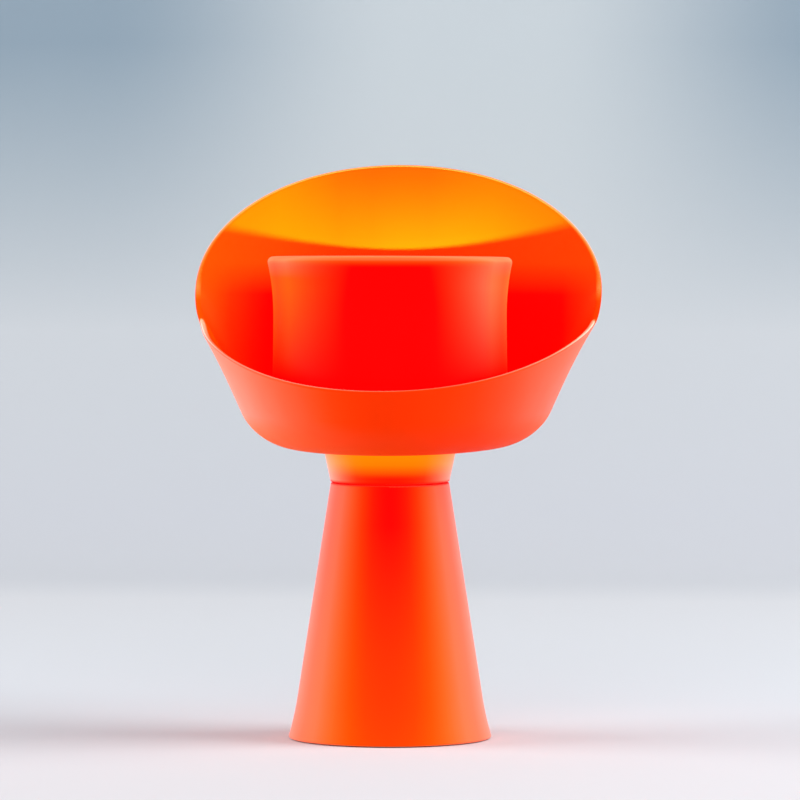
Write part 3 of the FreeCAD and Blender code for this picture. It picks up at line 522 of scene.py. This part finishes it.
def threaded_sleeve(material):
    """Sleeve of the lampholder with a coarse outer thread and a plain collar."""
    low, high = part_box("holder_sleeve")
    radius = (high.x - low.x) / 2 / MM
    foot, top = low.z / MM, high.z / MM
    wall, collar = 1.8, 3.6
    ridge, pitch = 0.7, 2.5
    root, inside = radius - ridge, radius - wall
    outline = [(inside, foot), (radius, foot), (radius, foot + collar), (root, foot + 4.0)]
    outline += thread(radius, root, foot + 4.4, top - 1.0, pitch)
    outline += [(root, top - 0.6), (radius - 1.0, top), (inside + 0.3, top),
                (inside, top - 0.3), (inside, foot)]
    piece = lathe("holder_sleeve_threaded", outline)
    stands_for(piece, "holder_sleeve", "base", material)


def paper_paint():
    """Pale paper with painted light: its tone changes with depth, and painted shade dims it high up
    and towards the corners.
    """
    material, tree = new_material("pale_paper")
    depth = placed_ramp(tree, "Y", [(-300, "#D9D6D9"), (150, "#D6D9DE"), (600, "#E5E5E8"),
                                    (850, "#D4D6DC"), (1200, "#BFC6C9")])
    high_up = along(tree, "Z", 100, 240)
    place = add_node(tree, "ShaderNodeTexCoord")
    split = add_node(tree, "ShaderNodeSeparateXYZ", {"Vector": place.outputs["Object"]})
    from_middle = add_node(tree, "ShaderNodeMath", {0: split.outputs["X"]}, operation="ADD",
                           sockets={1: 45 * MM})
    distance = add_node(tree, "ShaderNodeMath", {0: from_middle.outputs[0]}, operation="ABSOLUTE")
    beside = add_node(tree, "ShaderNodeMapRange", {"Value": distance.outputs[0]},
                      interpolation_type="SMOOTHSTEP",
                      sockets={"From Min": 30 * MM, "From Max": 190 * MM}).outputs["Result"]
    dim = mixed(tree, high_up, depth, "#BFC7CC")
    dim = mixed(tree, product(tree, high_up, beside), dim, "#8C9DAB")
    shader = add_node(tree, "ShaderNodeBsdfPrincipled", {"Base Color": dim},
                      sockets={"Roughness": 0.9, "Specular IOR Level": 0.1})
    finish(tree, shader)
    return material


def backdrop():
    """Pale seamless paper: a floor that curves up behind the lamp. Lengths are in metres."""
    front, bend_start, radius, top, half_width = -1.5, 0.7, 0.5, 2.5, 2.0
    steps = 24
    sweep = [(front, 0.0)]
    for step in range(steps + 1):
        angle = math.pi / 2 * step / steps
        sweep.append((bend_start + radius * math.sin(angle), radius - radius * math.cos(angle)))
    sweep.append((bend_start + radius, top))
    mesh = bpy.data.meshes.new("paper_sweep")
    points = [(side * half_width, y, z) for y, z in sweep for side in (-1, 1)]
    faces = [(2 * i, 2 * i + 1, 2 * i + 3, 2 * i + 2) for i in range(len(sweep) - 1)]
    mesh.from_pydata(points, [], faces)
    mesh.shade_smooth()
    paper = bpy.data.objects.new("paper_sweep", mesh)
    bpy.context.scene.collection.objects.link(paper)
    mesh.materials.append(paper_paint())


def soft_light(name, where, aim, width, height, power):
    """A rectangular soft light that faces a point."""
    data = bpy.data.lights.new(name, "AREA")
    data.shape = "RECTANGLE"
    data.size = width
    data.size_y = height
    data.energy = power
    light = bpy.data.objects.new(name, data)
    light.location = Vector(where)
    light.rotation_euler = (Vector(aim) - Vector(where)).to_track_quat("-Z", "Y").to_euler()
    bpy.context.scene.collection.objects.link(light)


def studio():
    """Broad soft lights at both sides, a weaker one in front, the room's fill and the bulb."""
    middle = (0, 0, 0.1)
    soft_light("left_bank", (-1.2, -0.1, 0.25), middle, 1.0, 1.4, 22)
    soft_light("right_bank", (1.1, -0.1, 0.75), middle, 1.0, 1.2, 20)
    soft_light("front_fill", (0.0, -1.6, 0.7), middle, 1.6, 1.0, 9)
    world = bpy.data.worlds.new("even_room")
    world.use_nodes = True
    tree = world.node_tree
    tree.nodes.clear()
    shade = add_node(tree, "ShaderNodeBackground",
                     sockets={"Color": linear("#F4F5F8"), "Strength": ROOM_LEVEL})
    add_node(tree, "ShaderNodeOutputWorld", {"Surface": shade.outputs[0]})
    bpy.context.scene.world = world
    data = bpy.data.lights.new("bulb_light", "POINT")
    data.energy = LIGHT_POWER
    data.color = (1.0, 0.8, 0.05)
    data.shadow_soft_size = LIGHT_RADIUS
    glow = bpy.data.objects.new("bulb_light", data)
    glow.location = (LIGHT_ACROSS, 0, LIGHT_HEIGHT)
    bpy.context.scene.collection.objects.link(glow)


def photo_camera():
    """The camera that frames the lamp as the photograph does."""
    data = bpy.data.cameras.new("photo_camera")
    span = math.hypot(VIEW_DISTANCE, VIEW_HEIGHT - AXIS_HEIGHT)
    data.sensor_width = SENSOR_WIDTH
    data.lens = SENSOR_WIDTH * span / (IMAGE_WIDTH * PIXEL)
    camera = bpy.data.objects.new("photo_camera", data)
    right = Vector((math.cos(VIEW_TURN), math.sin(VIEW_TURN), 0))
    back_off = Vector((math.sin(VIEW_TURN), -math.cos(VIEW_TURN), 0))
    aim = Vector((0, 0, AXIS_HEIGHT)) + right * AXIS_OFFSET
    camera.location = aim + back_off * VIEW_DISTANCE + Vector((0, 0, VIEW_HEIGHT - AXIS_HEIGHT))
    camera.rotation_euler = (aim - camera.location).to_track_quat("-Z", "Y").to_euler()
    data.clip_start = 0.05
    bpy.context.scene.collection.objects.link(camera)
    bpy.context.scene.camera = camera


dress(base_shell(), "base_cone")
dress(bowl_shell(), "bowl")
dress(cup_shell(), "cup")
dress(glowing_neck(), "neck_collar")
dress(lit_ring(), "socket_ring", "slip_ring")
dress(moulded("dark_red_acetal", "#3A0A04", 0.5), "lock_ring")
black_nylon = moulded("black_nylon", "#17120F", 0.5)
dress(black_nylon, "cable_gland", "gland_nut")
black_phenolic = moulded("black_phenolic", "#141414", 0.35)
dress(black_phenolic, "holder_base", "holder_sleeve", "holder_core")
dress(moulded("white_polyamide", "#E9E6DF", 0.45), "terminal_block", "bulb_collar")
dress(moulded("cast_iron_skin", "#3A3A3C", 0.75, grain_mm=0.9, depth=0.6), "ballast_weight")
dress(moulded("powder_coated_steel", "#17171A", 0.55, grain_mm=0.6, depth=0.4), "bottom_cover")
soft_rubber = moulded("natural_rubber", "#121212", 0.8, grain_mm=0.5, depth=0.3)
dress(soft_rubber, "foot_pad")
dress(moulded("brown_wire_pvc", "#4A2412", 0.4), "lead_live")
dress(moulded("blue_wire_pvc", "#1C4AA0", 0.4), "lead_neutral")
dress(moulded("black_bulb_glass", "#0A0A0C", 0.15), "bulb_insulator")
dress(moulded("white_board_lacquer", "#E8E8E8", 0.4), "light_board")
dress(metal("zinc_plated_steel", "#B9BCBF", 0.35), "stem_tube", "stem_nut_upper",
      "stem_nut_lower", "stem_washers", "cover_screws")
dress(metal("brass", "#D1A657", 0.3), "terminal_screws", "screw_shell", "centre_contact")
nickel = metal("nickel_plated_brass", "#C8C4BC", 0.25)
dress(nickel, "bulb_cap")
dress(metal("solder", "#A9A9A9", 0.5), "bulb_tip")
dress(opal_bulb(), "bulb_envelope")
cable_inlet(black_nylon)
rubber_foot(soft_rubber)
threaded_cap(nickel)
threaded_sleeve(black_phenolic)

backdrop()
studio()
photo_camera()
bpy.context.scene.view_settings.view_transform = "Standard"
